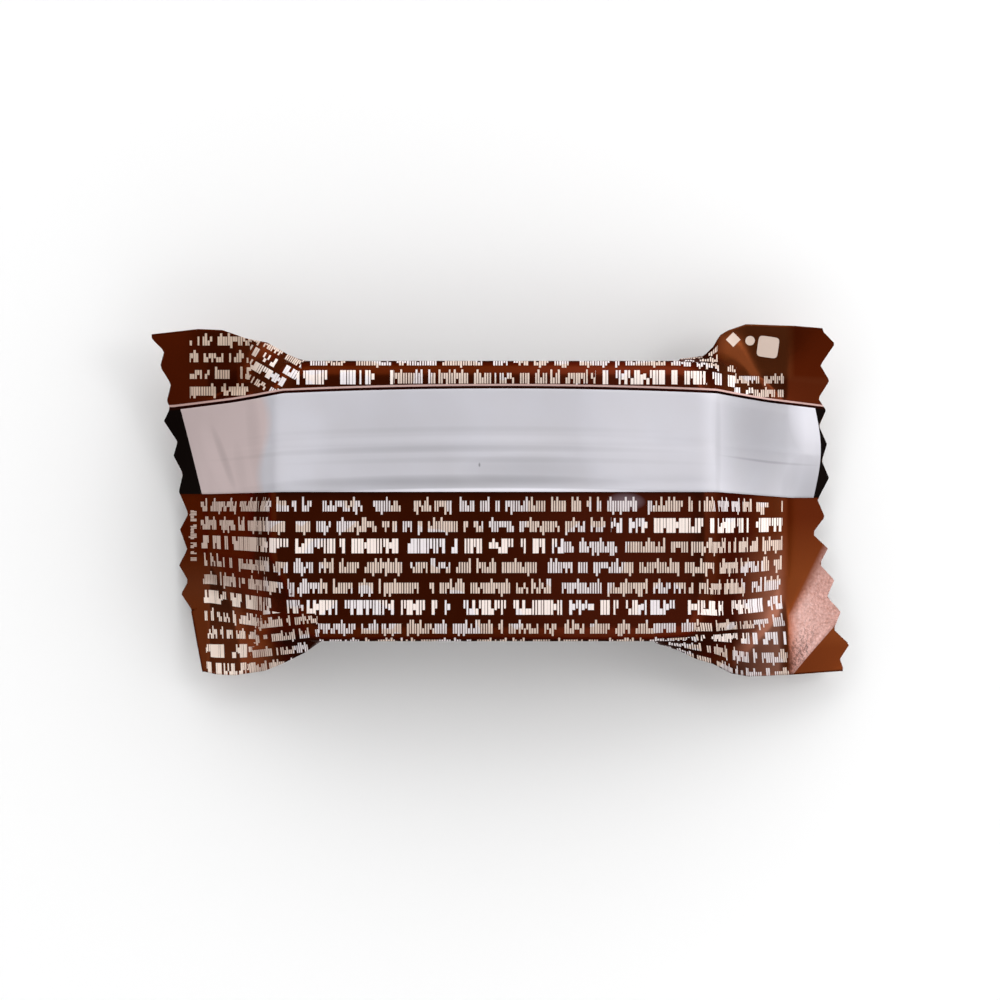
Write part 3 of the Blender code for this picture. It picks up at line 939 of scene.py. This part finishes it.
def brown_film():
    material, tree, shader = new_material("brown_film", FILM_ROUGHNESS, FILM_METALLIC)
    shader.inputs["Specular IOR Level"].default_value = 0.0
    shader.inputs["Specular Tint"].default_value = (*EDGE_TINT, 1.0)
    shader.inputs["Coat Roughness"].default_value = COAT_ROUGHNESS
    place = millimetres(tree)
    plan_x, from_root = uv_fields(tree, "seam")
    down = from_root * -1
    crimp_and_sheen = lower_right_crimp_and_sheen(plan_x, down)
    ground = bare_film_colour(tree, place, plan_x, down, crimp_and_sheen)
    ink, heavy = printed(tree)
    ink = (ink + signs(tree, place) * from_root.over(0.0)).math("MINIMUM", 1.0)
    tint = blend(tree, heavy, PRINT_COLOUR, HEAVY_PRINT_COLOUR)
    cold = noise(tree, place, *COLD_NOISE).over(COLD_FROM) * COLD_SHARE
    tint = blend(tree, cold, tint, COLD_PRINT_COLOUR)
    tint = add_zones(tree, tint, plan_x, down, PRINT_TONES_AND_PAINTED_LIGHT)
    coloured = blend(tree, ink, ground, tint)
    line = from_root.within(*ROOT_LINE)
    coloured = blend(tree, line, coloured, ROOT_LINE_COLOUR)
    coloured = blend(tree, from_root.within(*DARK_ROOT_LINE), coloured, DARK_ROOT_LINE_COLOUR)
    tree.links.new(coloured, shader.inputs["Base Color"])
    tree.links.new(((ink + line).flip() * FILM_METALLIC).socket, shader.inputs["Metallic"])
    tree.links.new((crimp_and_sheen * CRIMPED_COAT).socket, shader.inputs["Coat Weight"])
    crinkle = noise(tree, place, *CRINKLE_NOISE) * CRINKLE_SHARE
    crimped_crinkle = noise(tree, place, *CRIMPED_CRINKLE_NOISE) * (crimp_and_sheen * CRIMPED_CRINKLE_SHARE)
    add_bump(tree, shader, crinkle + crimped_crinkle, CRINKLE_DEPTH, CRINKLE_STRENGTH)
    return material


def fin_film():
    material, tree, shader = new_material("fin_film", FIN_ROUGHNESS, 0.0)
    shader.inputs["Specular IOR Level"].default_value = FIN_SPECULAR
    plan_x, from_root = uv_fields(tree, "seam")
    place = millimetres(tree)
    ground = blend(tree, noise(tree, place, *FIN_NOISE), FIN_COLOUR, FIN_SHADE)
    down = from_root * -1
    # The fin's left part, past its fold, gets painted shade.
    fold = (down * (math.pi / FIN_FOLD_HALF_WAVE)).math("SINE") * FIN_FOLD_SWAY + FIN_FOLD_AT
    past_fold = ((fold - plan_x) * FIN_FOLD_SHARPNESS + 0.5).limited()
    ground = blend(tree, past_fold, ground, FIN_LEFT_SHADE_COLOUR)
    # Painted light and shade of the fin, and its one speck.
    fin_shading = None
    for x, half_length, centre, half_width, slant, change in FIN_PAINTED_SHADING_AND_SPECK:
        far_along = ((plan_x - x - (down - centre) * slant) / half_length).math("POWER", 2.0)
        far_across = ((down - centre) / half_width).math("POWER", 2.0)
        shading_patch = (far_along + far_across).flip().limited() * change
        fin_shading = shading_patch if fin_shading is None else fin_shading + shading_patch
    shade = tree.nodes.new("ShaderNodeVectorMath")
    shade.operation = "SCALE"
    tree.links.new(ground, shade.inputs[0])
    tree.links.new((fin_shading + 1).socket, shade.inputs["Scale"])
    left_side = down * LEFT_MARK_LEAN + LEFT_MARK_AT
    right_side = (down * (math.pi / RIGHT_MARK_HALF_WAVE)).math("SINE") * RIGHT_MARK_SWAY + RIGHT_MARK_AT
    mark = (plan_x - left_side).under(0.0) + (plan_x - right_side).over(0.0)
    tree.links.new(blend(tree, mark, shade.outputs[0], MARK_COLOUR), shader.inputs["Base Color"])
    crinkle = noise(tree, place, *FIN_CRINKLE_NOISE)
    add_bump(tree, shader, crinkle, FIN_CRINKLE_DEPTH, FIN_CRINKLE_STRENGTH)
    return material


def build_floor():
    mesh = bpy.data.meshes.new("floor")
    corners = [(FLOOR_REACH * x, FLOOR_REACH * y, 0) for x, y in ((-1, -1), (1, -1), (1, 1), (-1, 1))]
    mesh.from_pydata(corners, [], [(0, 1, 2, 3)])
    floor = bpy.data.objects.new("floor", mesh)
    bpy.context.scene.collection.objects.link(floor)
    material, _, shader = new_material("floor", FLOOR_ROUGHNESS, 0.0)
    shader.inputs["Base Color"].default_value = (*FLOOR_COLOUR, 1.0)
    mesh.materials.append(material)


def build_camera():
    camera = bpy.data.objects.new("camera", bpy.data.cameras.new("camera"))
    bpy.context.scene.collection.objects.link(camera)
    camera.location = (0.0, PICTURE_RISE * MM, CAMERA_HEIGHT)
    camera.data.sensor_width = SENSOR_WIDTH
    above = CAMERA_HEIGHT - BACK_HEIGHT * MM
    camera.data.lens = SENSOR_WIDTH * above / (PICTURE_WIDTH * MM)
    camera.data.clip_start = CLIP_START
    bpy.context.scene.camera = camera


def build_soft_box():
    """A square light that faces the pack from KEY_DIRECTION, an azimuth and an elevation in degrees."""
    azimuth, elevation = (math.radians(angle) for angle in KEY_DIRECTION)
    level = math.cos(elevation)
    place = Vector((math.cos(azimuth) * level, math.sin(azimuth) * level, math.sin(elevation))) * KEY_DISTANCE
    light = bpy.data.objects.new("key", bpy.data.lights.new("key", "AREA"))
    light.data.shape = "SQUARE"
    light.data.size = KEY_SIZE
    light.data.energy = KEY_POWER
    light.location = place
    light.rotation_euler = (-place).to_track_quat("-Z", "Y").to_euler()
    bpy.context.scene.collection.objects.link(light)


def build_sky():
    """A bright ring of sky round a dark zenith, so that the flat film doesn't glare."""
    world = bpy.data.worlds.new("studio")
    bpy.context.scene.world = world
    world.use_nodes = True
    tree = world.node_tree
    tree.nodes["Background"].inputs["Color"].default_value = (1.0, 1.0, 1.0, 1.0)
    place = tree.nodes.new("ShaderNodeTexCoord")
    split = tree.nodes.new("ShaderNodeSeparateXYZ")
    tree.links.new(place.outputs["Generated"], split.inputs[0])
    ramp = tree.nodes.new("ShaderNodeMapRange")
    ramp.interpolation_type = "SMOOTHSTEP"
    ramp.inputs["From Min"].default_value = ZENITH_EDGE[0]
    ramp.inputs["From Max"].default_value = ZENITH_EDGE[1]
    ramp.inputs["To Min"].default_value = RING_LIGHT
    ramp.inputs["To Max"].default_value = ZENITH_LIGHT
    tree.links.new(split.outputs["Z"], ramp.inputs["Value"])
    right, up = Field(tree, split.outputs["X"]), Field(tree, split.outputs["Y"])
    sideways = right * SKY_SLANT[0] + up * SKY_SLANT[1]
    strength = (sideways + 1) * Field(tree, ramp.outputs[0])
    tree.links.new(strength.socket, tree.nodes["Background"].inputs["Strength"])


film = build_film()
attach(film, "root")
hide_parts(NODE)
build_floor()
build_camera()
build_soft_box()
build_sky()
bpy.context.scene.view_settings.view_transform = "Standard"
